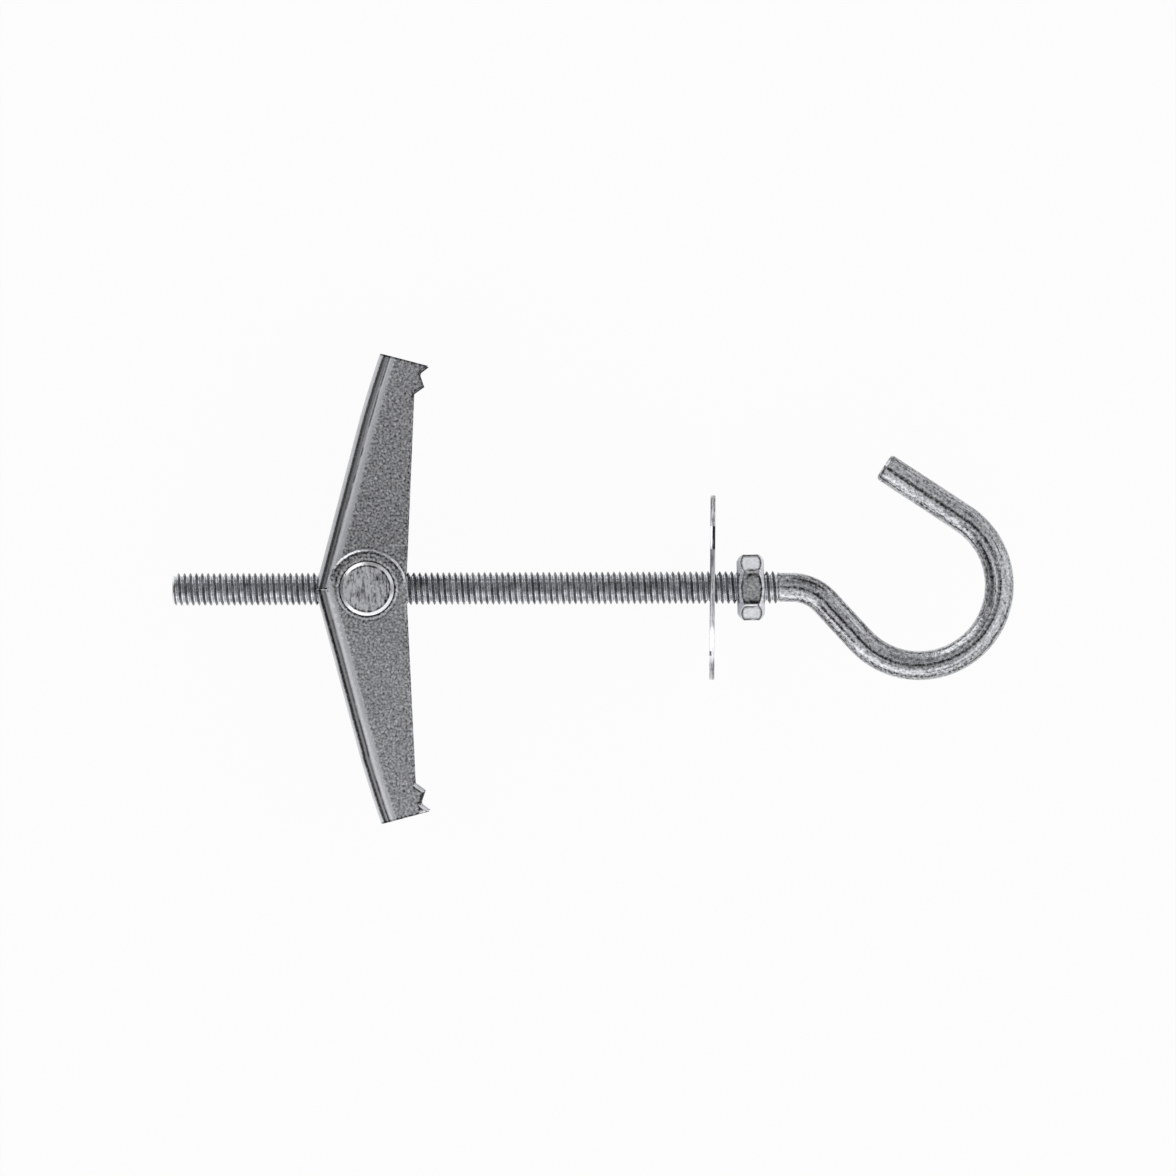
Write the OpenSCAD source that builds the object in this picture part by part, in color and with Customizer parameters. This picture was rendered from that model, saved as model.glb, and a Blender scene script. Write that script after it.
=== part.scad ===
// Spring toggle bolt with an open hook, for hanging things from a hollow ceiling.
//
// X runs along the rod, from its free end towards the hook. Y runs across it, towards the
// upper wing. Z is the pivot axis of the wings. The origin is the centre of the rod's free end.
// A wing has its own directions: u along its web, away from the pivot, and n square to the
// web, towards it. Both wings are drawn open, resting against each other above the rod.

/* [Hook bolt] */
// Outside diameter of the thread
thread_d = 3.9; // [3.5:0.05:4.2]
// Distance from the free end to the end of the full thread
thread_len = 71.6; // [66:0.1:80]
// Length over which the thread runs out to the plain wire
thread_runout = 0.4; // [0.2:0.1:1]
// Width of the chamfer on the free end
end_chamfer = 0.4; // [0.1:0.05:0.7]
// Diameter of the plain wire
wire_d = 3.45; // [3:0.05:3.5]
// Straight wire between the thread and the first bend
neck_len = 1.6; // [0.5:0.1:6]
// Centreline radius of the first bend
neck_bend_r = 5.5; // [4:0.1:9]
// Angle of the first bend
neck_bend_angle = 47.5; // [35:0.5:55]
// Straight wire between the two bends
slope_len = 6.1; // [3:0.1:10]
// Centreline radius of the hook's bowl
bowl_r = 9.55; // [8:0.05:14]
// Angle of the hook's bowl
bowl_angle = 194; // [180:0.5:205]
// Straight wire from the bowl to the tip
tip_len = 11.3; // [6:0.1:14]
// Width of the chamfer on the tip
tip_chamfer = 0.5; // [0.1:0.05:0.7]
// How much thinner the wire is where it is bent, on the radius
bend_thinning = 0.01; // [0.01:0.005:0.05]

/* [Cross nut] */
// Distance from the rod's free end to the pivot
pivot_x = 23.2; // [15:0.1:30]
// Diameter of the bar that the wings turn on
bar_d = 6.1; // [5.4:0.05:6.4]
// How much wider the upset rim is than the bar, on the radius
rim_step = 0.15; // [0.1:0.01:0.25]
// Length of the upset rim
rim_len = 0.4; // [0.4:0.05:0.6]
// Width of the chamfer on the bar's ends
rim_chamfer = 0.36; // [0.1:0.01:0.38]
// Width of the countersink round the threaded hole
bore_sink = 0.3; // [0.1:0.05:0.5]

/* [Wings] */
// Width over the outer wing
wing_w = 10; // [9.5:0.1:12]
// Thickness of the sheet
sheet_t = 0.75; // [0.6:0.05:0.8]
// Outside radius of the bends
bend_r = 2; // [1.6:0.1:2.4]
// Distance from the pivot to the outside of the web
web_offset = 6; // [5.8:0.1:7]
// Angle between an open wing and the plane across the rod
wing_lean = 14.8; // [8:0.1:20]
// Distance from the pivot to the end of the wing
wing_len = 27.3; // [22:0.1:32]
// Distance from the pivot to the flange's free edge
edge_drop = 4.6; // [4.4:0.05:4.7]
// Height of the free edge above the pivot, where the teeth begin
edge_rise = 0.57; // [0.2:0.01:1.5]
// Number of teeth on each flange
tooth_count = 2; // [1:1:4]
// Distance from tooth to tooth
tooth_pitch = 2.3; // [1.6:0.1:3]
// Depth of the teeth below the line through the pivot
tooth_drop = 0.3; // [0:0.05:1]
// Height of the gullet between two teeth above that line
gullet_rise = 0.45; // [0.1:0.05:0.6]
// Length of the flat at the bottom of a gullet
gullet_flat = 0.3; // [0.1:0.05:0.6]
// Radius of the outer wing's ear
ear_r = 4.73; // [4.6:0.01:4.9]
// Angle between the ear's straight side and the web
ear_side_angle = 5.5; // [3:0.5:8]
// Length of the straight side on the outer wing's ear
ear_side_len = 2; // [1:0.1:3]
// Width of the step from that side to the free edge
ear_step = 0.5; // [0.1:0.1:1]
// Radius of the inner wing's ear
inner_ear_r = 4.2; // [3.9:0.05:4.3]
// Length over which the web tapers at its end
web_corner_len = 6.5; // [0.5:0.1:8]
// How far the web tapers at its end
web_corner_drop = 0.4; // [0.1:0.05:0.5]
// Diameter of the rolled edge round the pin hole in the outer wing
hole_roll_d = 7.6; // [7:0.1:8]
// Depth of that rolled edge
hole_roll_depth = 0.2; // [0.05:0.01:0.3]

/* [Torsion spring] */
// Diameter of the spring wire
spring_wire_d = 0.4; // [0.3:0.01:0.42]
// Gap between two turns
spring_turn_gap = 0.01; // [0.01:0.01:0.03]
// Mean radius of the coils
spring_r = 3.8; // [3.6:0.05:4]
// Full turns between the two legs, on each side of the rod
spring_turns = 2; // [1:1:2]
// Distance from the pivot to where the legs bear on the webs
spring_leg_u = 11; // [8:0.5:15]
// Bend radius at the corners of the spring's loop
spring_corner_r = 0.8; // [0.5:0.1:1.2]

/* [Washer] */
// Diameter of the washer
washer_d = 22; // [16:0.5:30]
// Thickness of the washer
washer_t = 0.6; // [0.5:0.1:1.5]
// Width of the rounded edge that the punch leaves
washer_edge = 0.1; // [0.05:0.01:0.2]

/* [Lock nut] */
// Width across the flats
nut_af = 6.9; // [6.5:0.05:8]
// How far the nut is turned on the thread
nut_turn = 2.5; // [0:0.5:29]
// Height of the nut
nut_h = 3.2; // [2:0.1:4]
// Length of thread left bare between the nut and the plain wire
nut_setback = 1.25; // [0.3:0.05:8]
// Gap between the nut and the washer
nut_gap = 2.65; // [1:0.05:10]
// Diameter of the flat on each face, inside the chamfer
nut_face_d = 6.2; // [5.6:0.05:6.4]
// Angle of the chamfer
nut_chamfer_angle = 45; // [15:1:50]
// Width of the countersink round the nut's thread
nut_sink = 0.25; // [0.1:0.05:0.4]

/* [Clearances] */
// Radial play of a nut on the thread
thread_play = 0.05; // [0.02:0.01:0.1]
// Radial play of the wings on the bar
pivot_play = 0.07; // [0.02:0.01:0.1]
// Play between the two wings' flanges
side_play = 0.15; // [0.1:0.01:0.2]
// Play between the outer wing and the bar's rims
rim_play = 0.05; // [0.03:0.01:0.1]
// Gap between the two webs where they rest on each other
stop_play = 0.1; // [0.05:0.01:0.2]
// Radial play of the rod in the half-round cut-outs of the webs
notch_play = 0.4; // [0.3:0.05:0.6]
// Radial play of the rod in the washer
washer_play = 0.25; // [0.15:0.05:0.5]
// Play between the spring and the pieces beside it
spring_play = 0.08; // [0.03:0.01:0.1]

/* [Hidden] */

ROUND = 96;          // facets of a full circle in the preview
SMALL_ROUND = 48;    // facets of a small circle in the preview
CUT = 1;             // how far a cutting tool runs past the faces it cuts

thread_r = thread_d / 2;
wire_r = wire_d / 2;
tapped_r = thread_r + thread_play;
bend_lap = 0.2;      // how far a bend reaches into the straight wire at each end

// The outer wing's flanges lie outside the inner wing's, so that they nest when both fold.
outer_half_w = wing_w / 2;
inner_half_w = outer_half_w - sheet_t - side_play;
bar_r = bar_d / 2;
rim_base_z = outer_half_w + rim_play;

// The spring's coils fill the room between the rod and the inner wing's flange.
spring_wire_r = spring_wire_d / 2;
spring_pitch = spring_wire_d + spring_turn_gap;
loop_z = thread_r + spring_play + spring_wire_r;
leg_n = web_offset - sheet_t - spring_wire_r - spring_play;
spring_sides = 8;
spring_step = 15;

nut_x = thread_len - nut_setback - nut_h;
washer_x = nut_x - nut_gap - washer_t;

// ---------------------------------------------------------------- hook bolt

// An arc of round wire. It starts at the origin along X and turns towards +Y, or towards -Y
// where turn is -1. Both of its ends reach a little way into the straight wire beside them.
module wire_bend(radius, angle, turn = 1) {
    lap_angle = bend_lap / radius * 180 / PI;
    translate([0, turn * radius, 0])
        rotate([0, 0, (turn > 0 ? -90 : 90 - angle) - lap_angle])
            rotate_extrude(angle = angle + 2 * lap_angle, $fn = ROUND)
                translate([radius, 0])
                    circle(r = wire_r - bend_thinning, $fn = SMALL_ROUND);
}

module wire_straight(length) {
    rotate([0, 90, 0])
        cylinder(r = wire_r, h = length, $fn = SMALL_ROUND);
}

// Moves its children to the far end of a bend, facing along the wire there.
module past_bend(radius, angle, turn = 1) {
    translate([radius * sin(angle), turn * radius * (1 - cos(angle)), 0])
        rotate([0, 0, turn * angle])
            children();
}

module threaded_rod() {
    rotate([0, 90, 0]) {
        cylinder(r1 = thread_r - end_chamfer, r2 = thread_r, h = end_chamfer, $fn = ROUND);
        translate([0, 0, end_chamfer])
            cylinder(r = thread_r, h = thread_len - end_chamfer, $fn = ROUND);
        translate([0, 0, thread_len])
            cylinder(r1 = thread_r, r2 = wire_r, h = thread_runout, $fn = ROUND);
    }
}

module hook_tip() {
    wire_straight(tip_len - tip_chamfer);
    translate([tip_len - tip_chamfer, 0, 0])
        rotate([0, 90, 0])
            cylinder(r1 = wire_r, r2 = wire_r - tip_chamfer, h = tip_chamfer, $fn = SMALL_ROUND);
}

module hook_bolt() {
    color([0.62, 0.62, 0.64]) {
        threaded_rod();
        translate([thread_len + thread_runout, 0, 0]) {
            wire_straight(neck_len);
            translate([neck_len, 0, 0]) {
                wire_bend(neck_bend_r, neck_bend_angle, -1);
                past_bend(neck_bend_r, neck_bend_angle, -1) {
                    wire_straight(slope_len);
                    translate([slope_len, 0, 0]) {
                        wire_bend(bowl_r, bowl_angle);
                        past_bend(bowl_r, bowl_angle)
                            hook_tip();
                    }
                }
            }
        }
    }
}

// ---------------------------------------------------------------- cross nut

// One upset end of the bar: a rim wider than the pin holes, with a chamfered edge.
module bar_rim() {
    rim_r = bar_r + rim_step;
    translate([0, 0, rim_base_z]) {
        cylinder(r = rim_r, h = rim_len - rim_chamfer, $fn = ROUND);
        translate([0, 0, rim_len - rim_chamfer])
            cylinder(r1 = rim_r, r2 = rim_r - rim_chamfer, h = rim_chamfer, $fn = ROUND);
    }
}

// The tapped hole through the bar, along the rod, countersunk where it leaves the round side.
module tapped_hole() {
    rotate([0, 90, 0]) {
        cylinder(r = tapped_r, h = bar_d + 2 * CUT, center = true, $fn = ROUND);
        for (side = [0, 180])
            rotate([0, side, 0])
                translate([0, 0, bar_r - bore_sink])
                    cylinder(r1 = tapped_r, r2 = tapped_r + bore_sink + CUT,
                             h = bore_sink + CUT, $fn = ROUND);
    }
}

module cross_nut() {
    color([0.72, 0.72, 0.74])
        translate([pivot_x, 0, 0])
            difference() {
                union() {
                    cylinder(r = bar_r, h = 2 * rim_base_z, center = true, $fn = ROUND);
                    bar_rim();
                    mirror([0, 0, 1])
                        bar_rim();
                }
                tapped_hole();
            }
}

// ---------------------------------------------------------------- wings

// Half of the channel's outline in the plane of n and z: a box with two round corners.
module rounded_end(top_n, half_w, radius) {
    low_n = -(ear_r + CUT);
    translate([low_n, -half_w])
        square([top_n - radius - low_n, 2 * half_w]);
    translate([low_n, -(half_w - radius)])
        square([top_n - low_n, 2 * (half_w - radius)]);
    for (side = [-1, 1])
        translate([top_n - radius, side * (half_w - radius)])
            circle(r = radius, $fn = ROUND);
}

// The folded channel before it is cut to its outline: a web with a flange on each side.
module channel(half_w) {
    rotate([90, 0, 90])
        translate([0, 0, -ear_r - CUT])
            linear_extrude(height = wing_len + ear_r + 2 * CUT)
                difference() {
                    rounded_end(web_offset, half_w, bend_r);
                    translate([-CUT, 0])
                        rounded_end(web_offset - sheet_t + CUT, half_w - sheet_t, bend_r - sheet_t);
                }
}

// Where the web ends at the pivot, so that the open wings meet on the rod's centre plane.
function stop_u(n) = (stop_play / 2 - n * sin(wing_lean)) / cos(wing_lean);

// Height of the free edge at a distance u from the pivot.
edge_end_u = wing_len - tooth_count * tooth_pitch + tooth_pitch / 2;
edge_slope = (edge_drop + edge_rise) / edge_end_u;
function edge_n(u) = edge_slope * u - edge_drop;

// The toothed corner, from the end of the wing back to the free edge.
function tooth_points() = [
    for (i = [0 : tooth_count - 1]) each concat(
        [[wing_len - i * tooth_pitch, -tooth_drop]],
        i < tooth_count - 1
            ? [for (side = [1, -1])
                  [wing_len - (i + 0.5) * tooth_pitch + side * gullet_flat / 2, gullet_rise]]
            : [[edge_end_u, edge_rise]]
    )
];

// Where an ear's straight side leaves the round part, and where it has run for a length.
function side_start(radius) = radius * [sin(ear_side_angle), -cos(ear_side_angle)];
function side_end(radius, length) =
    side_start(radius) + length * [cos(ear_side_angle), sin(ear_side_angle)];

// The outer ear's side ends in a small step up to the free edge.
function outer_side() =
    let (corner = side_end(ear_r, ear_side_len), foot_u = corner[0] + ear_step)
    [[foot_u, edge_n(foot_u)], corner, side_start(ear_r)];

// The inner ear's side runs on until it meets the free edge, so that the flange clears the
// outer wing's bend when both wings are folded.
function inner_side() =
    let (foot_u = (inner_ear_r / cos(ear_side_angle) - edge_drop)
                  / (tan(ear_side_angle) - edge_slope))
    [[foot_u, edge_n(foot_u)], side_start(inner_ear_r)];

// The side view of a wing without the round of its ear, in the plane of u and n.
module flange_outline(side_points) {
    polygon(concat(
        [
            [stop_u(0), 0],
            [stop_u(web_offset), web_offset],
            [wing_len - web_corner_len, web_offset],
            [wing_len, web_offset - web_corner_drop],
        ],
        tooth_points(),
        side_points
    ));
}

// The half-round cut-out that lets the rod through the web.
module rod_notch() {
    notch_r = thread_r + notch_play;
    translate([stop_u(web_offset), web_offset - bend_r, 0])
        rotate([-90, 0, 0])
            cylinder(r = notch_r / cos(wing_lean), h = bend_r + CUT, $fn = ROUND);
}

// A wing in its own directions, with its web towards +Y and its pivot at the origin.
module wing(half_w, ear_radius, side_points) {
    height = 2 * half_w + 2 * CUT;
    difference() {
        intersection() {
            channel(half_w);
            union() {
                linear_extrude(height = height, center = true)
                    flange_outline(side_points);
                cylinder(r = ear_radius, h = height, center = true, $fn = ROUND);
            }
        }
        rod_notch();
        cylinder(r = bar_r + pivot_play, h = height, center = true, $fn = ROUND);
    }
}

// The rolled edge that the punch leaves round the pin hole, on the outside of a flange.
module hole_roll() {
    hole_r = bar_r + pivot_play;
    translate([0, 0, outer_half_w - hole_roll_depth])
        cylinder(r1 = hole_r, r2 = hole_roll_d / 2, h = hole_roll_depth, $fn = ROUND);
}

// Turns a wing from its own directions to its open position on the pivot.
module opened() {
    translate([pivot_x, 0, 0])
        rotate([0, 0, 90 - wing_lean])
            children();
}

module upper_wing() {
    color([0.5, 0.5, 0.52])
        opened()
            wing(inner_half_w, inner_ear_r, inner_side());
}

module lower_wing() {
    color([0.56, 0.56, 0.58])
        mirror([0, 1, 0])
            opened()
                difference() {
                    wing(outer_half_w, ear_r, outer_side());
                    hole_roll();
                    mirror([0, 0, 1])
                        hole_roll();
                }
}

// ---------------------------------------------------------------- torsion spring

// The wire leaves the coil on the web's side and rises to the web at spring_leg_u.
leg_reach = norm([spring_leg_u, leg_n]);
leg_start_angle = atan2(leg_n, spring_leg_u) + acos(spring_r / leg_reach);

// A point given along u and n of the upper wing, in the plane of the wings.
function upper_point(u, n, z) =
    [u * sin(wing_lean) - n * cos(wing_lean), u * cos(wing_lean) + n * sin(wing_lean), z];
function lower_point(u, n, z) = let (p = upper_point(u, n, z)) [p[0], -p[1], z];

// The coil winds from the upper wing's leg, round below the bar, to the lower wing's leg.
coil_start = 90 - wing_lean + leg_start_angle;
coil_sweep = 360 * spring_turns + 2 * (180 - coil_start);
leg_z = loop_z + spring_pitch * coil_sweep / 360;

// Half of the loop that bears on the upper web, from its middle to the foot of its corner.
function loop_points() =
    let (c = spring_corner_r, top = [spring_leg_u, leg_n],
         foot = spring_r * [cos(leg_start_angle), sin(leg_start_angle)],
         down = (foot - top) / norm(foot - top))
    concat(
        [upper_point(top[0], top[1], 0)],
        [for (a = [0 : 22.5 : 90])
            let (p = top + down * c * (1 - cos(a)))
                upper_point(p[0], p[1], loop_z - c + c * sin(a))]
    );

function coil_points() = [
    for (i = [0 : ceil(coil_sweep / spring_step)])
        let (turned = min(i * spring_step, coil_sweep))
            [spring_r * cos(coil_start + turned), spring_r * sin(coil_start + turned),
             loop_z + spring_pitch * turned / 360]
];

function half_spring() =
    concat(loop_points(), coil_points(), [lower_point(spring_leg_u, leg_n, leg_z)]);

// The whole centreline: one half, and its mirror image taken the other way round.
function spring_path() =
    let (half = half_spring(), last = len(half) - 1)
    concat([for (i = [last : -1 : 1]) [half[i][0], half[i][1], -half[i][2]]], half);

function unit(v) = v / norm(v);

// The wire's direction at point i of a path.
function heading(path, i) = unit(path[min(i + 1, len(path) - 1)] - path[max(i - 1, 0)]);

// A ring of points round each point of the path. Its first direction is carried along the
// path and kept square to it, so that the tube doesn't twist.
function carried(path, i, side) =
    let (along = heading(path, i)) unit(side - (side * along) * along);
function ring(path, i, side) =
    let (along = heading(path, i), other = cross(along, side))
    [for (k = [0 : spring_sides - 1])
        let (a = 360 * k / spring_sides)
            path[i] + spring_wire_r * (cos(a) * side + sin(a) * other)];

module tube(path) {
    last = len(path) - 1;
    first_side = carried(path, 0, [0, 0, 1]);
    rings = [for (i = 0, side = first_side; i <= last;
                  i = i + 1, side = i <= last ? carried(path, i, side) : side)
                 each ring(path, i, side)];
    sides = spring_sides;
    polyhedron(points = rings, faces = concat(
        [[for (k = [0 : sides - 1]) k]],
        [for (i = [0 : last - 1], k = [0 : sides - 1])
            let (a = i * sides + k, b = i * sides + (k + 1) % sides)
                [a, a + sides, b + sides, b]],
        [[for (k = [sides - 1 : -1 : 0]) last * sides + k]]
    ));
}

module torsion_spring() {
    color([0.45, 0.45, 0.47])
        translate([pivot_x, 0, 0])
            tube(spring_path());
}

// ---------------------------------------------------------------- washer

module washer() {
    outer_r = washer_d / 2;
    hole_r = thread_r + washer_play;
    color([0.68, 0.68, 0.7])
        translate([washer_x, 0, 0])
            rotate([0, 90, 0])
                rotate_extrude($fn = ROUND)
                    polygon([
                        [hole_r, 0],
                        [outer_r - washer_edge, 0],
                        [outer_r, washer_edge],
                        [outer_r, washer_t],
                        [hole_r, washer_t],
                    ]);
}

// ---------------------------------------------------------------- lock nut

// Half of the cone pair that chamfers the hexagon's corners, as a profile.
module nut_chamfer_profile() {
    face_r = nut_face_d / 2;
    reach = nut_h / 2 / tan(nut_chamfer_angle);
    polygon([
        [0, 0],
        [face_r, 0],
        [face_r + reach, nut_h / 2],
        [face_r, nut_h],
        [0, nut_h],
    ]);
}

module nut_sink_cone() {
    translate([0, 0, -CUT])
        cylinder(r1 = tapped_r + nut_sink + CUT, r2 = tapped_r, h = nut_sink + CUT, $fn = ROUND);
}

module lock_nut() {
    color([0.78, 0.78, 0.8])
        translate([nut_x, 0, 0])
            rotate([0, 90, 0])
                difference() {
                    intersection() {
                        rotate([0, 0, 30 + nut_turn])
                            cylinder(d = nut_af / cos(30), h = nut_h, $fn = 6);
                        rotate_extrude($fn = ROUND)
                            nut_chamfer_profile();
                    }
                    translate([0, 0, -CUT])
                        cylinder(r = tapped_r, h = nut_h + 2 * CUT, $fn = ROUND);
                    nut_sink_cone();
                    translate([0, 0, nut_h])
                        mirror([0, 0, 1])
                            nut_sink_cone();
                }
}

hook_bolt();
cross_nut();
torsion_spring();
upper_wing();
lower_wing();
washer();
lock_nut();
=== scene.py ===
import math

import bmesh
import bpy
import numpy as np
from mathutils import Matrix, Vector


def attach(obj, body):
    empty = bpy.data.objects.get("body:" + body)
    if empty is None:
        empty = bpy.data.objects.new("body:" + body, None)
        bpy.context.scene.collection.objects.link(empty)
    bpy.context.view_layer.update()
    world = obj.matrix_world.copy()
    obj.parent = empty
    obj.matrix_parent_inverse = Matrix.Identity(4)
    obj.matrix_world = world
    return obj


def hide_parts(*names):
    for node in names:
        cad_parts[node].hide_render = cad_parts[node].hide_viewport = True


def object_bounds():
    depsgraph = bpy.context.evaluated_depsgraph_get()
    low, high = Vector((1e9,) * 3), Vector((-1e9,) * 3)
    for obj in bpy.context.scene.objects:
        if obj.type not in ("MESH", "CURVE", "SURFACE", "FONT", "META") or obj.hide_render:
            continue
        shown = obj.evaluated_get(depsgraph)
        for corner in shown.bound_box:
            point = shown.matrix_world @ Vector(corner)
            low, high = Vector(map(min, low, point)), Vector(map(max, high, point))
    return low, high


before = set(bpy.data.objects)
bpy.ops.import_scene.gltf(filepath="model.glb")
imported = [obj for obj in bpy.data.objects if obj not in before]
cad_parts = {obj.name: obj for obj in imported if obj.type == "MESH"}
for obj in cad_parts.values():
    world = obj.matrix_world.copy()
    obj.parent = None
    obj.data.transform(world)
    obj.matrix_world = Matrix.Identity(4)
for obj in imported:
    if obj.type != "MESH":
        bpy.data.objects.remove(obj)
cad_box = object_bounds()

# Sizes are in millimetres, and become metres where a mesh is made.
MM = 0.001
TAU = 2 * math.pi

# ---------------------------------------------------------------- sizes of the hook bolt
THREAD_R, THREAD_DEPTH, PITCH = 1.95, 0.43, 0.7
THREAD_LEN, RUNOUT_LEN, END_CHAMFER = 71.6, 0.9, 0.42
WIRE_R, TIP_ROUND = 1.725, 0.52
NECK_END = 73.6
# The centreline: straight lengths, and bends with their radius and angle.
BENDS = [("straight", NECK_END), ("bend", 5.5, -47.5), ("straight", 6.1),
         ("bend", 9.55, 194.0), ("straight", 11.3)]
RING_POINTS = 24                 # round the wire, and along one pitch of the thread
WIRE_STEP = 0.25                 # between rings beyond the thread

# ---------------------------------------------------------------- sizes of the toggle
PIVOT_X = 23.2
HOLE_R = 3.12                    # of the pin hole in the outer flanges
LEAN = math.radians(14.8)
SHEET_T, BEND_R, WEB_N = 0.75, 1.75, 6.0
WING_LEN = 27.42
STOP_GAP, NOTCH_PLAY = 0.1, 0.4
EDGE_DROP, EDGE_RISE = 4.6, 0.57
# Where the slope ends, and the first tooth's tip and the gullet stand along the wing.
EDGE_END, TOOTH_U, GULLET_U = 23.85, 24.97, 26.32
TOOTH_DROP, GULLET_RISE, GULLET_FLAT = 0.3, 0.42, 0.3
FIRST_TOOTH_EXTRA = 0.08         # how much further the first tooth reaches down
EDGE_SLOPE = (EDGE_DROP + EDGE_RISE) / EDGE_END
EAR_SIDE_ANGLE, EAR_STEP = math.radians(5.5), 0.5
BEND_N = WEB_N - BEND_R          # where a bend begins on the flange
BEND_ARC = BEND_R * math.pi / 2  # length round a bend's outer face
SEAM_U = 4.4                     # where the ears' part of the blank meets the long channel
OUTER_HALF_W, INNER_HALF_W = 5.0, 4.1
OUTER_EAR_R, INNER_EAR_R = 4.73, 4.2
OUTER_EAR_SIDE, INNER_EAR_SIDE = 2.0, 0
OUTER_LAND_R, INNER_LAND_R = 4.05, 3.5
EDGE_ROUND, END_ROUND = 0.17, 0.07   # of a sheared edge, and of the web's sawn end
# How far the web sinks at places along the wing.
SINK_U, SINK = (19.5, 21.5, 24.0, 26.6, WING_LEN), (0, 0.05, 0.17, 0.32, 0.42)

# ---------------------------------------------------------------- sizes of the small pieces
WASHER_X, WASHER_T, WASHER_R, WASHER_HOLE_R = 63.9, 0.6, 11.0, 2.2
WASHER_TURN, WASHER_LEAN = math.radians(-0.6), math.radians(-0.65)
NUT_X, NUT_H, NUT_AF, NUT_BORE_R = 67.15, 3.2, 6.9, 2.0
NUT_FACE_R = (3.1, 3.26)         # of the flats that face the washer and the hook
NUT_TURN, NUT_TILT = math.radians(2.5), math.radians(0.9)
SPRING_WIRE_R, SPRING_R, SPRING_PITCH, SPRING_CORNER_R = 0.2, 3.8, 0.41, 0.8
SPRING_PLAY, LEG_U = 0.08, 11.0
LOOP_Z = THREAD_R + SPRING_PLAY + SPRING_WIRE_R
LEG_N = WEB_N - SHEET_T - SPRING_WIRE_R - SPRING_PLAY


# ================================================================ meshes

def grid_faces(rows, cols, closed=False, looped=False, first=0):
    """Quads between neighbouring points of a rows x cols array, as an array of corner numbers.
    A closed grid also joins its last column to its first, and a looped one its last row."""
    i, j = np.meshgrid(np.arange(rows if looped else rows - 1),
                       np.arange(cols if closed else cols - 1), indexing="ij")
    below, right = (i + 1) % rows, (j + 1) % cols
    corners = [i * cols + j, i * cols + right, below * cols + right, below * cols + j]
    return first + np.stack(corners, -1).reshape(-1, 4)


def fan_faces(ring, centre, flip):
    """Triangles from a centre point to each edge of a closed ring."""
    a, b = ring, np.roll(ring, -1)
    tri = np.stack([a, b, np.full_like(a, centre)], -1)
    return tri[:, ::-1] if flip else tri


def signed_volume(points, faces):
    """Sum over all triangles of the box product of their corners, over six."""
    total = 0.0
    for part in faces:
        for k in range(1, part.shape[1] - 1):
            a, b, c = (points[part[:, i]] for i in (0, k, k + 1))
            total += np.einsum("ij,ij->i", a, np.cross(b, c)).sum() / 6
    return total


def stand_in(name, mesh, body, node):
    """The object of a mesh that rides on a body and takes the place of one CAD node."""
    piece = bpy.data.objects.new(name, mesh)
    bpy.context.scene.collection.objects.link(piece)
    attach(piece, body)
    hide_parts(node)
    return piece


def make_piece(name, points, faces, body, node, attributes=(), flats=True):
    """Makes a closed mesh from points in millimetres and a list of face arrays, facing outwards.
    attributes hold a value a point. flats leans the shading on large faces, so that flats stay
    flat beside narrow rounds."""
    if signed_volume(points, faces) < 0:
        faces = [part[:, ::-1] for part in faces]
    sizes = np.concatenate([np.full(len(part), part.shape[1]) for part in faces])
    corners = np.concatenate([part.reshape(-1) for part in faces]).astype(np.int32)
    mesh = bpy.data.meshes.new(name)
    mesh.vertices.add(len(points))
    mesh.vertices.foreach_set("co", (points * MM).astype(np.float32).reshape(-1))
    mesh.loops.add(len(corners))
    mesh.loops.foreach_set("vertex_index", corners)
    mesh.polygons.add(len(sizes))
    starts = np.concatenate([[0], np.cumsum(sizes)[:-1]]).astype(np.int32)
    mesh.polygons.foreach_set("loop_start", starts)
    mesh.polygons.foreach_set("use_smooth", np.ones(len(sizes), bool))
    for label, values in attributes:
        layer = mesh.attributes.new(label, "FLOAT", "POINT")
        layer.data.foreach_set("value", np.asarray(values, np.float32))
    mesh.update(calc_edges=True)
    mesh.validate()
    piece = stand_in(name, mesh, body, node)
    if flats:
        weigh = piece.modifiers.new("flat faces", "WEIGHTED_NORMAL")
        weigh.weight = 80
        weigh.keep_sharp = False
    return piece


def merged_copy(name, body, node):
    """A copy of a CAD node's mesh, with its loose triangles merged and shaded smooth up to 30
    degrees."""
    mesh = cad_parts[node].data.copy()
    mesh.name = name
    work = bmesh.new()
    work.from_mesh(mesh)
    bmesh.ops.remove_doubles(work, verts=work.verts, dist=2e-6)
    bmesh.ops.dissolve_limit(work, angle_limit=math.radians(1), verts=work.verts, edges=work.edges)
    for face in work.faces:
        face.smooth = True
    for edge in work.edges:
        edge.smooth = len(edge.link_faces) == 2 and edge.calc_face_angle(0) < math.radians(30)
    work.to_mesh(mesh)
    work.free()
    return stand_in(name, mesh, body, node)


# ================================================================ the hook bolt

def thread_height(x, angle):
    """The thread's radius at a place along the rod and an angle round it: a wave with a round
    crest and a round root, which follows a right-hand helix and repeats every pitch."""
    phase = x / PITCH - angle / TAU + 0.5 / RING_POINTS
    wave = 0.5 - 0.5 * np.cos(TAU * phase)
    return THREAD_R - THREAD_DEPTH * wave ** 0.85


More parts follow.
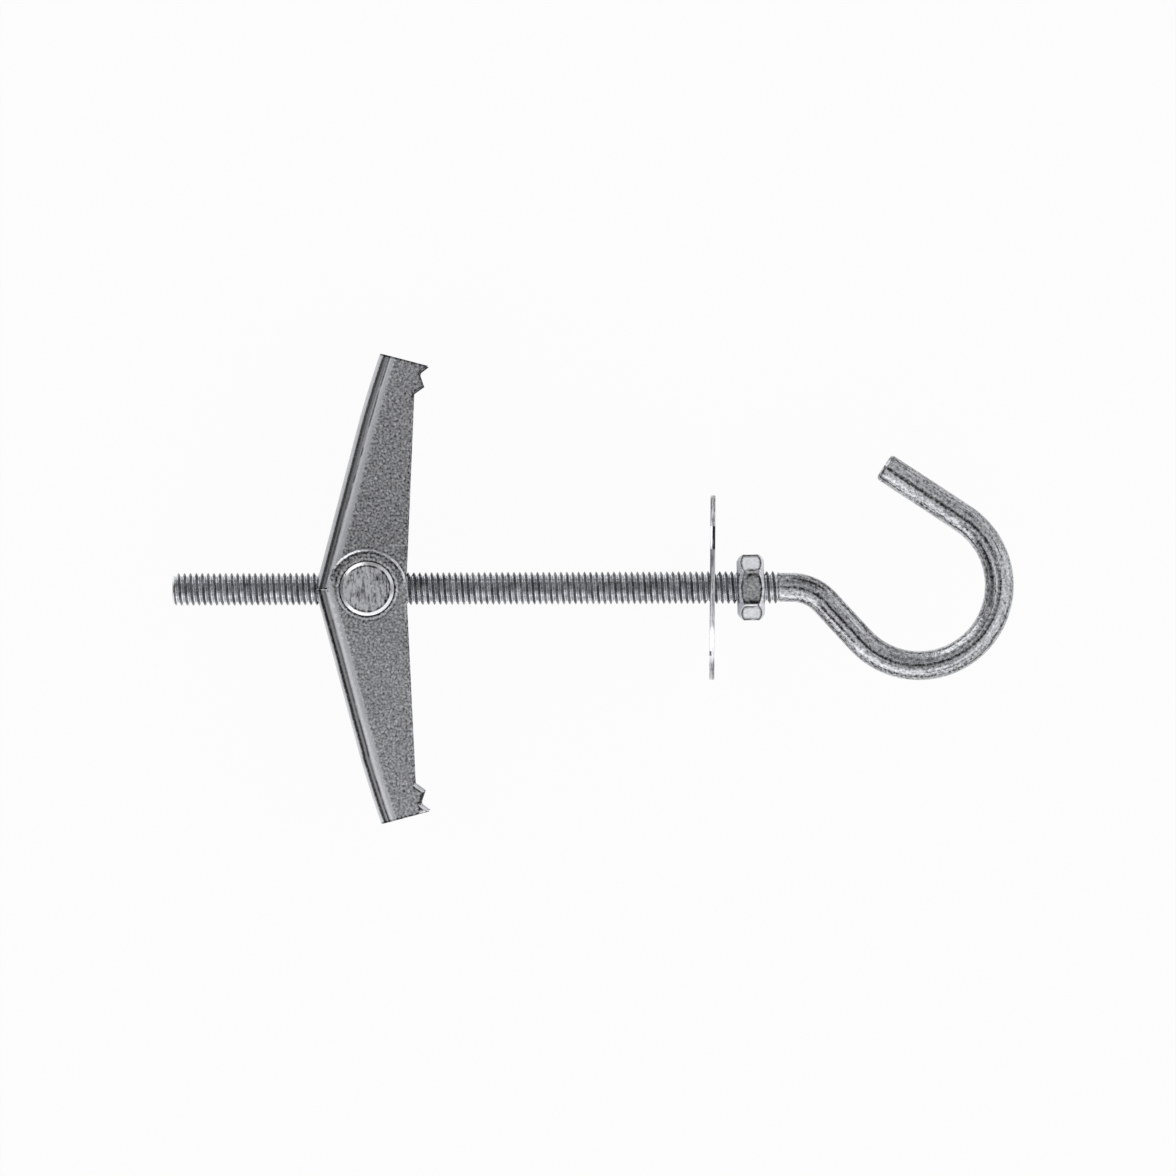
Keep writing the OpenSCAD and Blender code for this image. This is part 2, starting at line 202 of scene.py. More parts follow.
def bolt_path():
    """Stations along the bolt's centreline, closer on the thread and on the tip's round. Returns
    the distance, the point and the heading at each, and the whole length."""
    step = PITCH / RING_POINTS
    along = [np.arange(0, THREAD_LEN + RUNOUT_LEN + step, step)]
    total = sum(p[1] if p[0] == "straight" else p[1] * math.radians(abs(p[2])) for p in BENDS)
    rest = total - along[0][-1]
    along.append(along[0][-1] + np.linspace(0, rest - TIP_ROUND, int(rest / WIRE_STEP))[1:])
    along.append(total - TIP_ROUND + TIP_ROUND * np.sin(np.radians(np.linspace(0, 90, 9)))[1:])
    s = np.concatenate(along)
    point = np.zeros((len(s), 2))
    heading = np.zeros(len(s))
    start, here, facing = 0.0, np.zeros(2), 0.0
    for piece in BENDS:
        if piece[0] == "straight":
            length = piece[1]
            t = np.clip(s - start, 0, length)
            ahead = np.array([math.cos(facing), math.sin(facing)])
            place = here + t[:, None] * ahead
            angle = np.full(len(s), facing)
            end, turn = here + length * ahead, 0.0
        else:
            radius, turn = piece[1], math.radians(piece[2])
            length = radius * abs(turn)
            side = math.copysign(1, turn)
            t = np.clip(s - start, 0, length)
            angle = facing + side * t / radius
            centre = here + radius * side * np.array([-math.sin(facing), math.cos(facing)])
            place = centre + radius * side * np.stack([np.sin(angle), -np.cos(angle)], -1)
            last = facing + turn
            end = centre + radius * side * np.array([math.sin(last), -math.cos(last)])
        inside = s >= start - 1e-9
        point[inside], heading[inside] = place[inside], angle[inside]
        start, here, facing = start + length, end, facing + turn
    return s, point, heading, total


def bolt_radius(along, angle, total):
    """The bolt's radius: the thread's, which starts at a chamfer and fades smoothly into the
    wire's, and a quarter circle over the tip's round."""
    fade = np.clip((THREAD_LEN + RUNOUT_LEN - along) / RUNOUT_LEN, 0, 1)
    fade = fade * fade * (3 - 2 * fade)
    radius = WIRE_R + (thread_height(along, angle) - WIRE_R) * fade
    radius = np.minimum(radius, THREAD_R - END_CHAMFER + along)
    past = np.clip(along - (total - TIP_ROUND), 0, TIP_ROUND)
    return radius - TIP_ROUND + np.sqrt(TIP_ROUND ** 2 - past ** 2)


def make_hook_bolt():
    """One closed tube along the bolt's centreline: at each station a ring of points, out from the
    centre by the bolt's radius. Both ends are closed with flat discs."""
    s, point, heading, total = bolt_path()
    cols = RING_POINTS
    ring = np.arange(cols) * TAU / cols
    radius = bolt_radius(s[:, None], ring[None, :], total)
    # Discs at both ends: the same stations again, with the radius going to nothing.
    disc = np.array([0.12, 0.5, 0.85])
    order = np.concatenate([np.zeros(3, int), np.arange(len(s)), np.full(3, len(s) - 1)])
    scale = np.concatenate([disc, np.ones(len(s)), disc[::-1]])[:, None]
    radius, point, heading, along = radius[order] * scale, point[order], heading[order], s[order]
    normal = np.stack([-np.sin(heading), np.cos(heading)], -1)
    flat = point[:, None, :] + (radius * np.cos(ring))[..., None] * normal[:, None, :]
    points = np.concatenate([flat, (radius * np.sin(ring))[..., None]], -1)
    rows = len(along)
    # Each quad is cut along the helix, so that crests and roots stay crisp.
    quads = grid_faces(rows, cols, closed=True)
    a, b, c, d = quads.T
    tris = np.concatenate([np.stack([a, b, c], -1), np.stack([a, c, d], -1)])
    points = points.reshape(-1, 3)
    ends = np.array([[0, 0, 0], [*point[-1], 0]])
    first, last = np.arange(cols), (rows - 1) * cols + np.arange(cols)
    count = len(points)
    faces = [tris, fan_faces(first, count, True), fan_faces(last, count + 1, False)]
    crest = np.clip((radius - THREAD_R + THREAD_DEPTH) / THREAD_DEPTH, 0, 1)
    threaded = np.broadcast_to((along < THREAD_LEN + 0.3)[:, None], radius.shape).astype(float)
    cut = np.broadcast_to(scale < 1, radius.shape).astype(float)
    u = np.broadcast_to(along[:, None], radius.shape)
    v = np.broadcast_to(ring / TAU, radius.shape)
    # Each attribute has a value a point, and two more for the middles of the end discs.
    attributes = [("crest", crest, (0.5, 0.5)), ("threaded", threaded, (1, 0)),
                  ("along", u, (0, total)), ("cut", cut, (1, 1)),
                  ("round_sin", np.sin(v * TAU) * scale, (0, 0)),
                  ("round_cos", np.cos(v * TAU) * scale, (0, 0)),
                  ("round_turn", ((v + 0.25) % 1.0) * 2 - 1, (0, 0))]
    return make_piece("hook_bolt_wire", np.concatenate([points, ends]), faces, "hook_bolt",
                      "hook_bolt", [(label, np.append(a, b)) for label, a, b in attributes],
                      flats=False)


# ================================================================ the wings

def stop_u(n):
    """Where the open wings meet, at a height n."""
    return (STOP_GAP / 2 - n * math.sin(LEAN)) / math.cos(LEAN)


# The free edge's corners: places along the wing, and the height of each.
EDGE_U = [0, EDGE_END, TOOTH_U, GULLET_U - GULLET_FLAT / 2, GULLET_U + GULLET_FLAT / 2, WING_LEN]
EDGE_N = [-EDGE_DROP, EDGE_RISE, -TOOTH_DROP - FIRST_TOOTH_EXTRA, GULLET_RISE, GULLET_RISE,
          -TOOTH_DROP]


def edge_n(u):
    """The free edge's height along the wing: a straight slope, then the teeth."""
    return np.interp(u, EDGE_U, EDGE_N)


def fold(u, s, depth, half_w):
    """Folds a flat blank into the channel: u runs along the wing, and s runs round it from the
    middle of the web. Up to the flat half of the web s is width, then it turns a quarter circle,
    then it runs down the flange. depth is the distance in from the outer face."""
    flat = half_w - BEND_R
    t = np.abs(s)
    phi = np.clip((t - flat) / BEND_R, 0, math.pi / 2)
    radius = BEND_R - depth
    z = np.minimum(t, flat) + radius * np.sin(phi)
    n = BEND_N + radius * np.cos(phi) - np.clip(t - flat - BEND_ARC, 0, None)
    return np.stack([u, n, np.copysign(z, s)], -1)


def ear_side(ear_r, side_len):
    """Points down the side of an ear that looks along the wing, to the free edge's slope. The
    side is straight all the way, or ends in a corner and a step where it has a length."""
    start = ear_r * np.array([math.sin(EAR_SIDE_ANGLE), -math.cos(EAR_SIDE_ANGLE)])
    way = np.array([math.cos(EAR_SIDE_ANGLE), math.sin(EAR_SIDE_ANGLE)])
    if side_len:
        corner = start + side_len * way
        foot_u = corner[0] + EAR_STEP
        return np.array([start + side_len / 2 * way, corner, [foot_u, edge_n(foot_u)]])
    side_rise = math.tan(EAR_SIDE_ANGLE)
    foot_u = (ear_r / math.cos(EAR_SIDE_ANGLE) - EDGE_DROP) / (side_rise - EDGE_SLOPE)
    foot = np.array([foot_u, edge_n(foot_u)])
    return start + (foot - start) * np.array([[0.35], [0.7], [1.0]])


def join_patches(patches):
    """Makes one net of patches of (u, s) places: points that share a place are joined, and all
    quads run the same way round. Returns u, s and the quads."""
    place, quads, count = [], [], 0
    for u_patch, s_patch in patches:
        place.append(np.stack([u_patch, s_patch], -1).reshape(-1, 2))
        quads.append(grid_faces(*u_patch.shape, first=count))
        count += u_patch.size
    place, quads = np.concatenate(place), np.concatenate(quads)
    _, index, joined = np.unique(np.round(place, 5), axis=0, return_index=True, return_inverse=True)
    place, quads = place[index], joined.reshape(-1)[quads]
    corner = place[quads]
    first, second = corner[:, 2] - corner[:, 0], corner[:, 3] - corner[:, 1]
    area = first[:, 0] * second[:, 1] - first[:, 1] * second[:, 0]
    quads = np.where((area < 0)[:, None], quads[:, ::-1], quads)
    return place[:, 0], place[:, 1], quads


def wing_blank(half_w, ear_r, side_len, land_r):
    """The flat blank of a wing as one net of quads in (u, s), from patches that share their
    border points: the web and bends beside the ears, the long channel with its toothed end, and
    a ring of radial strips from the pin hole to each ear's outline. Returns u, s and the quads."""
    flat = half_w - BEND_R
    edge_s = flat + BEND_ARC
    notch_r = (THREAD_R + NOTCH_PLAY) / math.cos(LEAN)
    # Places round the section: the web, with the rod's notch, and then the bend.
    mouth = notch_r if notch_r < flat else flat + BEND_R * math.asin((notch_r - flat) / BEND_R)
    inner = mouth * np.sin(np.linspace(0, math.pi / 2, 10))
    outer = np.linspace(mouth, edge_s, 22)[1:]
    half = np.concatenate([inner, outer])
    rows = np.concatenate([-half[::-1], half[1:]])
    _, n, z = fold(np.zeros_like(rows), rows, 0.0, half_w).T

    # Where each row starts: on the stop line, on the ear's round or on the rod's notch.
    begin = stop_u(n)
    round_u = -np.sqrt(np.clip(ear_r ** 2 - n ** 2, 0, None))
    begin = np.where(n < ear_r, np.minimum(begin, round_u), begin)
    notch = stop_u(WEB_N) + np.sqrt(np.clip(notch_r ** 2 - z ** 2, 0, None))
    begin = np.where(np.abs(rows) < mouth, np.maximum(begin, notch), begin)

    near = np.linspace(0, 1, 15)
    u_near = begin[:, None] + (SEAM_U - begin[:, None]) * near
    patches = [(u_near, np.broadcast_to(rows[:, None], u_near.shape))]

    # The long channel: a flange's rows run from the free edge up to the bend.
    marks = [SEAM_U, *EDGE_U[1:]]
    spans = zip(marks, marks[1:], [46, 4, 3, 1, 3])
    along = np.concatenate([[SEAM_U]] + [np.linspace(a, b, k + 1)[1:] for a, b, k in spans])
    rise = np.linspace(0, 1, 13)
    foot_s = edge_s + BEND_N - edge_n(along)
    flange_s = foot_s + (edge_s - foot_s) * rise[:, None]
    u_flange = np.broadcast_to(along, flange_s.shape)
    channel = (len(rows), len(along))
    patches += [(u_flange, -flange_s), (u_flange, flange_s),
                (np.broadcast_to(along, channel), np.broadcast_to(rows[:, None], channel))]

    # The ear's outline, all the way round the pin hole.
    turn = np.linspace(math.atan2(BEND_N, begin[0]), TAU - math.pi / 2 + EAR_SIDE_ANGLE, 49)
    flange_n = edge_s + BEND_N - flange_s[:, 0]
    outline = np.concatenate([
        np.stack([np.full(len(rise), SEAM_U), flange_n], -1),
        np.stack([u_near[0, ::-1][1:], np.full(len(near) - 1, BEND_N)], -1),
        ear_r * np.stack([np.cos(turn), np.sin(turn)], -1)[1:],
        ear_side(ear_r, side_len)])
    reach = np.linalg.norm(outline, axis=1)
    ray = outline / reach[:, None]
    radii = np.stack([np.full(len(reach), HOLE_R), np.full(len(reach), land_r)]
                     + [land_r + (reach - land_r) * t for t in (0.22, 1.0)])
    closed = np.append(np.arange(len(reach)), 0)
    ear = (ray[None] * radii[..., None])[:, closed]
    for sign in (-1, 1):
        patches.append((ear[..., 0], sign * (edge_s + BEND_N - ear[..., 1])))
    return join_patches(patches)


def open_edges(quads, count):
    """The edges that only one quad uses, as an array of (from, to) with the net on the left."""
    edges = np.concatenate([quads[:, [k, (k + 1) % 4]] for k in range(4)])
    key = edges[:, 0] * count + edges[:, 1]
    twin = edges[:, 1] * count + edges[:, 0]
    return edges[~np.isin(key, twin)]


def way_out(u, s, edges, a, b, count):
    """For each of count rim points the way out of the sheet, square to both edges that meet
    there. a and b are the edges' ends, as places among the rim points."""
    step = np.stack([u[edges[:, 1]] - u[edges[:, 0]], s[edges[:, 1]] - s[edges[:, 0]]], -1)
    out = np.stack([step[:, 1], -step[:, 0]], -1) / np.linalg.norm(step, axis=1)[:, None]
    total = np.zeros((count, 2))
    np.add.at(total, a, out)
    np.add.at(total, b, out)
    length = np.linalg.norm(total, axis=1)
    return total / length[:, None] * (2 / np.clip(length, 1.0, None))[:, None]


# How an edge turns over, as (distance in from the edge, depth) in parts of its width and height:
# a plain round, and the flat slope that a punch leaves.
ROUND = np.array([[1, 0], [0.74, 0.035], [0.5, 0.134], [0.29, 0.29],
                  [0.134, 0.5], [0.035, 0.74], [0, 1]])
STRUCK = np.array([[1, 0], [0.86, 0.02], [0.72, 0.08], [0.6, 0.19],
                   [0.3, 0.56], [0.03, 0.93], [0, 1]])
BACK_ROUND = 0.12                # of the edges on the sheet's inner face


def make_wing(name, body, node, half_w, ear_r, side_len, land_r, edge_shape, mirror):
    """A folded sheet: the blank's net folded at its outer face and again one thickness in, and
    rims that round the edges and join the two. edge_shape takes u and n and returns how wide and
    how deep the rim is there, and how much of it is a punch's slope."""
    u, s, quads = wing_blank(half_w, ear_r, side_len, land_r)
    count = len(u)
    flat = half_w - BEND_R
    edges = open_edges(quads, count)
    rim = np.unique(edges)
    rank = np.full(count, -1)
    rank[rim] = np.arange(len(rim))
    a, b = rank[edges[:, 0]], rank[edges[:, 1]]
    out = way_out(u, s, edges, a, b, len(rim))
    wide, deep, slope = edge_shape(u[rim], BEND_N - (np.abs(s[rim]) - flat - BEND_ARC))
    shape = ROUND[:, None] * (1 - slope[:, None]) + STRUCK[:, None] * slope[:, None]
    layers = []
    for inward, depth in ((wide, 0.0), (BACK_ROUND, SHEET_T)):
        u_face, s_face = u.copy(), s.copy()
        u_face[rim] -= out[:, 0] * inward
        s_face[rim] -= out[:, 1] * inward
        layers.append(fold(u_face, s_face, depth, half_w))
    turns = [(shape[k, :, 0] * wide, shape[k, :, 1] * deep) for k in range(1, len(ROUND))]
    turns += [(x * BACK_ROUND, SHEET_T - y * BACK_ROUND) for x, y in ROUND[:0:-1]]
    for inward, depth in turns:
        u_turn, s_turn = u[rim] - out[:, 0] * inward, s[rim] - out[:, 1] * inward
        layers.append(fold(u_turn, s_turn, depth, half_w))
    sheet = np.concatenate(layers)
    starts = 2 * count + len(rim) * np.arange(len(turns))
    path = np.concatenate([[rim], starts[:, None] + np.arange(len(rim)), [rim + count]])
    walls = np.stack([path[:-1, b], path[:-1, a], path[1:, a], path[1:, b]], -1).reshape(-1, 4)
    faces = [np.concatenate([quads, quads[:, ::-1] + count, walls])]
    # Where the open wings meet, the cut end lies in the plane between them all through the sheet.
    u, n, z = sheet.T
    bend_cos = np.cos(np.arctan2(np.clip(np.abs(z) - flat, 0, None), n - BEND_N))
    meets = (n > BEND_N) & (BEND_N + BEND_R * bend_cos > ear_r * math.cos(LEAN))
    u = np.where(meets, np.maximum(u, stop_u(n)), u)
    # The web sinks towards its end.
    on_web = np.clip((n - BEND_N + SHEET_T) / BEND_R, 0, 1) ** 0.5
    placed = place_wing(np.stack([u, n - np.interp(u, SINK_U, SINK) * on_web, z], -1), mirror)
    # How far each point is from the toothed edge or the end, for the finish.
    brink = np.where((n < BEND_N) & (u > SEAM_U), n - edge_n(u), 2.0)
    return make_piece(name, placed, faces, body, node, [
        ("wing_u", u), ("wing_n", n), ("brink", np.minimum(brink, WING_LEN - u))])


NEAR = 0.05                      # how near a place on an edge counts as being there


def web_end(u, n):
    """Whether a place is on the cut end of the web, or of the bends beside it."""
    return (u > WING_LEN - NEAR) & (n > 3.0)


def outer_edges(u, n):
    """The outer wing's edges: a wide roll round the pin hole, a punched slope on the ear and on
    the tooth flanks that face the pivot, and the rest rounded, least where the web ends."""
    reach = np.hypot(u, n)
    hole = reach < HOLE_R + NEAR
    ear = (np.abs(reach - OUTER_EAR_R) < NEAR) & (n < BEND_N - NEAR)
    fade = np.clip((BEND_N - n) / 0.8, 0, 1)
    first_flank = (u > EDGE_END + NEAR) & (u < TOOTH_U + NEAR)
    second_flank = (u > GULLET_U) & (u < WING_LEN - NEAR)
    flank = (n < EDGE_RISE + NEAR) & (first_flank | second_flank)
    places = [hole, ear, flank, web_end(u, n)]
    wide = np.select(places, [0.68, 0.2 + 0.27 * fade, 0.24, END_ROUND], EDGE_ROUND)
    deep = np.select(places, [0.24, 0.2 + 0.14 * fade, 0.26, END_ROUND], EDGE_ROUND)
    return wide, deep, np.where(~hole & (ear | flank), 0.9, 0.0)


def inner_edges(u, n):
    """The inner wing's edges: all rounded, least where the web ends."""
    size = np.where(web_end(u, n), END_ROUND, EDGE_ROUND)
    return size, size, np.zeros_like(u)


def place_wing(sheet, mirror):
    """Turns points from a wing's own directions (u, n, z) to its open place on the pivot."""
    u, n, z = sheet.T
    x = PIVOT_X + u * math.sin(LEAN) - n * math.cos(LEAN)
    y = u * math.cos(LEAN) + n * math.sin(LEAN)
    return np.stack([x, -y if mirror else y, z], -1)


# ================================================================ small pieces

def revolve(profile, cols):
    """A closed profile of (along, radius) points turned round the X axis: its points and faces."""
    angle = np.arange(cols) * TAU / cols
    along, radius = profile.T
    points = np.stack([np.broadcast_to(along[:, None], (len(along), cols)),
                       radius[:, None] * np.cos(angle), radius[:, None] * np.sin(angle)], -1)
    return points.reshape(-1, 3), [grid_faces(len(along), cols, closed=True, looped=True)]


def tilt(points, middle, turn, lean=0.0):
    """Turns points about the upright axis at a place along the rod, and leans their tops towards
    the hook."""
    x, y, z = points.T
    x = x - middle
    return np.stack([middle + x * math.cos(turn) - y * math.sin(turn) + z * math.sin(lean),
                     x * math.sin(turn) + y * math.cos(turn), z], -1)


def make_washer():
    """A flat ring, turned from a section whose rim is crowned and rolled over on the face that
    meets the board. It hangs a little askew, as its hole is wider than the rod."""
    rolled, burr, hole_soft, crown_height = 0.14, 0.05, 0.06, 0.09
    across = np.linspace(rolled * 0.7, WASHER_T - burr, 9)
    crown = WASHER_R - crown_height * (2 * across / WASHER_T - 1) ** 2
    hole_edge = WASHER_HOLE_R + hole_soft
    face = np.array([hole_edge, 4, 7, 9.5])
    profile = np.concatenate([
        np.stack([np.zeros(4), face], -1),
        [[0, crown[0] - rolled], [rolled * 0.3, crown[0] - rolled * 0.3]],
        np.stack([across, crown], -1), [[WASHER_T, crown[-1] - burr]],
        np.stack([np.full(4, WASHER_T), face[::-1]], -1),
        [[WASHER_T - hole_soft, WASHER_HOLE_R], [hole_soft, WASHER_HOLE_R]]])
    points, faces = revolve(profile, 180)
    placed = tilt(points + [WASHER_X, 0, 0], WASHER_X + WASHER_T / 2, WASHER_TURN, WASHER_LEAN)
    return make_piece("washer_disc", placed, faces, "washer", "washer", [
        ("along", points[:, 0]), ("reach", np.hypot(points[:, 1], points[:, 2]))])


def nut_section():
    """The nut's hexagon with rounded corners, as an angle and a radius for each point: flats at
    the apothem, and at each corner an arc that touches both flats. The third array is the
    strength of the painted shade along the corners, which is one where a corner meets its flats."""
    corner_r, sixth = 0.36, math.pi / 3
    centre = (NUT_AF / 2 - corner_r) / math.cos(sixth / 2)
    bend = np.linspace(-sixth / 2, sixth / 2, 9)
    x, y = centre + corner_r * np.cos(bend), corner_r * np.sin(bend)
    turn, reach = np.arctan2(y, x), np.hypot(x, y)
    start, end = turn[-1], sixth - turn[-1]
    flat = start + (end - start) * np.array([0.05, 0.11, 0.2, 0.35, 0.5, 0.65, 0.8, 0.89, 0.95])
    turn = np.concatenate([turn, flat])
    reach = np.concatenate([reach, NUT_AF / 2 / np.cos(flat - sixth / 2)])
    border_shade = np.array([1, 0.3, 0, 0, 0, 0, 0, 0.3, 1, 1, 0.5, 0, 0, 0, 0, 0, 0.5, 1])
    corners = (np.arange(6)[:, None] + 0.5) * sixth
    return (corners + turn).reshape(-1) - NUT_TURN, np.tile(reach, 6), np.tile(border_shade, 6)


def nut_half(side, corner, face_r):
    """Half of the nut, from a face to its middle: rows of distances from the face, radii, and the
    strength of the painted shade along its creases. The crowned cone that starts at face_r cuts
    the section further down where its side is further out."""
    over = side - face_r
    cut = 0.10 + 0.8 * over
    sink, straight = 0.25, 0.45      # of the countersink, and the cone's share of the crown
    crown = np.linspace(0, 1, 8)
    bow = crown * math.pi / 2
    band = np.array([0.06, 0.14, 0.26, 0.36])    # rows on the flats, just below the cone
    middle = (NUT_H / 2 - cut - band[-1])[None] * np.array([[0.5], [1.0]])
    one = np.ones_like(side)
    along = np.concatenate([
        np.outer([sink, 0, 0], one),
        np.outer(straight * crown + (1 - straight) * (1 - np.cos(bow)), cut),
        cut + band[:, None], cut + band[-1] + middle])
    radius = np.concatenate([
        np.outer([NUT_BORE_R, NUT_BORE_R + sink, 0.5 * (NUT_BORE_R + face_r)], one),
        face_r + np.outer(straight * crown + (1 - straight) * np.sin(bow), over),
        np.broadcast_to(side, (len(band) + 2, len(side)))])
    # Painted shade where the face meets the cone, where the cone meets the flats, and along the
    # corners.
    rows = np.zeros(len(along))
    rows[3:5] = 1.0, 0.8
    rows[10:14] = 0.2, 1.0, 1.0, 0.5
    border_shade = np.outer(rows, one)
    border_shade[11:] = np.maximum(border_shade[11:], corner)
    return along, radius, border_shade


def make_nut():
    """A hexagon whose corners are cut by a cone on both faces, a little less on the face that
    looks at the hook."""
    angle, side, corner = nut_section()
    first, last = (nut_half(side, corner, face_r) for face_r in NUT_FACE_R)
    along = np.concatenate([first[0], NUT_H - last[0][-2::-1]])
    radius, border_shade = (np.concatenate([first[k], last[k][-2::-1]]) for k in (1, 2))
    points = np.stack([NUT_X + along, radius * np.sin(angle), radius * np.cos(angle)], -1)
    placed = tilt(points.reshape(-1, 3), NUT_X + NUT_H / 2, NUT_TILT)
    faces = [grid_faces(*along.shape, closed=True, looped=True)]
    return make_piece("lock_nut_body", placed, faces, "lock_nut", "lock_nut",
                      [("border_shade", border_shade.reshape(-1))])


def spring_path():
    """The middle of the spring's wire: a loop that bears on the upper web, a helix round the bar
    on each side of the rod, and two legs that bear on the lower web."""
    reach = math.hypot(LEG_U, LEG_N)
    leave = math.atan2(LEG_N, LEG_U) + math.acos(SPRING_R / reach)
    top = np.array([LEG_U, LEG_N])
    foot = SPRING_R * np.array([math.cos(leave), math.sin(leave)])
    down = (foot - top) / np.linalg.norm(foot - top)
    a = np.radians(np.linspace(0, 90, 9))
    bent = top + down * (SPRING_CORNER_R * (1 - np.cos(a)))[:, None]
    loop = np.column_stack([bent, LOOP_Z - SPRING_CORNER_R * (1 - np.sin(a))])
    upper = place_wing(np.concatenate([[[*top, 0]], loop]), False)
    start = math.pi / 2 - LEAN + leave
    sweep = 2 * TAU + 2 * (math.pi - start)
    t = np.linspace(0, sweep, 145)
    coil = np.stack([PIVOT_X + SPRING_R * np.cos(start + t), SPRING_R * np.sin(start + t),
                     LOOP_Z + SPRING_PITCH * t / TAU], -1)
    end = place_wing(np.array([[LEG_U, LEG_N, LOOP_Z + SPRING_PITCH * sweep / TAU]]), True)
    half = np.concatenate([upper, coil, end])
    return np.concatenate([half[:0:-1] * [1, 1, -1], half])


def make_spring():
    """A round wire along the spring's path: at each station a ring of points, square to it."""
    path = spring_path()
    ahead = np.gradient(path, axis=0)
    ahead /= np.linalg.norm(ahead, axis=1)[:, None]
    # The ring's first direction is carried along the path, square to it.
    side = np.empty_like(path)
    current = np.array([0.0, 0.0, 1.0])
    for k, direction in enumerate(ahead):
        current = current - direction * current.dot(direction)
        current /= np.linalg.norm(current)
        side[k] = current
    other = np.cross(ahead, side)
    cols = 12
    ring = (np.arange(cols) * TAU / cols)[None, :, None]
    out = np.cos(ring) * side[:, None, :] + np.sin(ring) * other[:, None, :]
    points = (path[:, None, :] + SPRING_WIRE_R * out).reshape(-1, 3)
    count = len(points)
    faces = [grid_faces(len(path), cols, closed=True), fan_faces(np.arange(cols), count, True),
             fan_faces(count - cols + np.arange(cols), count + 1, False)]
    points = np.concatenate([points, path[[0, -1]]])
    return make_piece("torsion_spring_wire", points, faces, "toggle", "torsion_spring", flats=False)


# ================================================================ materials

class Value:
    """A number that changes over a surface. Arithmetic on it adds Math nodes to its tree."""

    def __init__(self, nodes, socket):
        self.nodes, self.socket = nodes, socket

    def maths(self, operation, *others):
        inputs = dict(enumerate((self, *others)))
        return self.nodes.node("ShaderNodeMath", {"operation": operation}, inputs)

    def __add__(self, other):
        return self.maths("ADD", other)

    def __sub__(self, other):
        return self.maths("SUBTRACT", other)

    def __mul__(self, other):
        return self.maths("MULTIPLY", other)

    def __rsub__(self, other):
        return self * -1 + other

    __radd__, __rmul__ = __add__, __mul__

    def limit(self, low, high):
        return self.maths("MAXIMUM", low).maths("MINIMUM", high)

    def step(self, low, high, out_low=0.0, out_high=1.0):
        """Rises smoothly from one value to another between two levels."""
        return self.nodes.node("ShaderNodeMapRange", {"interpolation_type": "SMOOTHSTEP"}, {
            "Value": self, "From Min": low, "From Max": high, "To Min": out_low, "To Max": out_high})

    def near(self, level, width, soft=0.5):
        """One within a distance of a level, falling smoothly to nothing over the last part."""
        return (self - level).maths("ABSOLUTE").step(width * (1 - soft), width, 1.0, 0.0)


class Nodes:
    """A node tree under construction."""

    def __init__(self, tree):
        self.tree = tree

    def node(self, kind, settings=None, inputs=None, output=0):
        """Adds a node, sets it up, then fills its sockets with numbers, colours or links."""
        made = self.tree.nodes.new(kind)
        for key, value in (settings or {}).items():
            setattr(made, key, value)
        for key, value in (inputs or {}).items():
            self.fill(made.inputs[key], value)
        return Value(self, made.outputs[output]) if len(made.outputs) else None

    def fill(self, socket, value):
        if isinstance(value, Value):
            self.tree.links.new(value.socket, socket)
        else:
            socket.default_value = value

    def blend(self, low, high, factor):
        """A colour between two others."""
        return self.node("ShaderNodeMix", {"data_type": "RGBA"}, {0: factor, 6: low, 7: high}, 2)

    def split(self, where):
        """The three coordinates of a place, each as a value."""
        made = self.node("ShaderNodeSeparateXYZ", None, {0: where})
        return [Value(self, made.socket.node.outputs[k]) for k in range(3)]

    def ramp(self, level, stops):
        """A grey for each level, from (level, grey) stops."""
        made = self.tree.nodes.new("ShaderNodeValToRGB")
        points = made.color_ramp.elements
        while len(points) < len(stops):
            points.new(0.5)
        for point, (position, grey) in zip(points, stops):
            point.position, point.color = position, (grey, grey, grey, 1)
        self.fill(made.inputs[0], level)
        return Value(self, made.outputs[0])


class Finish(Nodes):
    """A material's nodes, around one Principled shader."""

    def __init__(self, name, **constants):
        self.material = bpy.data.materials.new(name)
        self.material.use_nodes = True
        super().__init__(self.material.node_tree)
        self.shader = next(n for n in self.tree.nodes if n.type == "BSDF_PRINCIPLED")
        for socket, value in constants.items():
            self.shader.inputs[socket.replace("_", " ")].default_value = value

    def place(self, scale=(1, 1, 1)):
        """Object coordinates in millimetres, stretched where scale is under one."""
        where = self.node("ShaderNodeTexCoord", output="Object")
        scale = [k / MM for k in scale]
        return self.node("ShaderNodeMapping", None, {"Vector": where, "Scale": scale})

    def attribute(self, name):
        return self.node("ShaderNodeAttribute", {"attribute_name": name}, output="Fac")

    def vector(self, x, y, z):
        return self.node("ShaderNodeCombineXYZ", None, {"X": x, "Y": y, "Z": z})

    def noise(self, where, scale, detail=2.0, roughness=0.5):
        """Soft noise between 0 and 1, about 0.5 in the mean, with scale blots a millimetre."""
        return self.node("ShaderNodeTexNoise", None, {
            "Vector": where, "Scale": scale, "Detail": detail, "Roughness": roughness})

    def cells(self, where, scale):
        """The distance to the nearest of scattered points, in parts of their spacing."""
        return self.node("ShaderNodeTexVoronoi", None, {"Vector": where, "Scale": scale}, "Distance")

    def zinc(self, level, rough, relief, distance, strength, top=0.95, metallic=1.0):
        """A zinc surface: how light its faintly blue grey is, up to top, how rough it is, and a
        relief of 0 to 1 whose height is distance in millimetres."""
        level = level.limit(0.04, top)
        grey = self.node("ShaderNodeCombineColor", None, {
            part: level * share for part, share in (("Red", 1.0), ("Green", 1.012), ("Blue", 1.06))})
        normal = self.node("ShaderNodeBump", None, {
            "Height": relief, "Distance": distance * MM, "Strength": strength})
        for socket, value in (("Base Color", grey), ("Roughness", rough), ("Normal", normal),
                              ("Metallic", metallic)):
            self.fill(self.shader.inputs[socket], value)
        return self.material
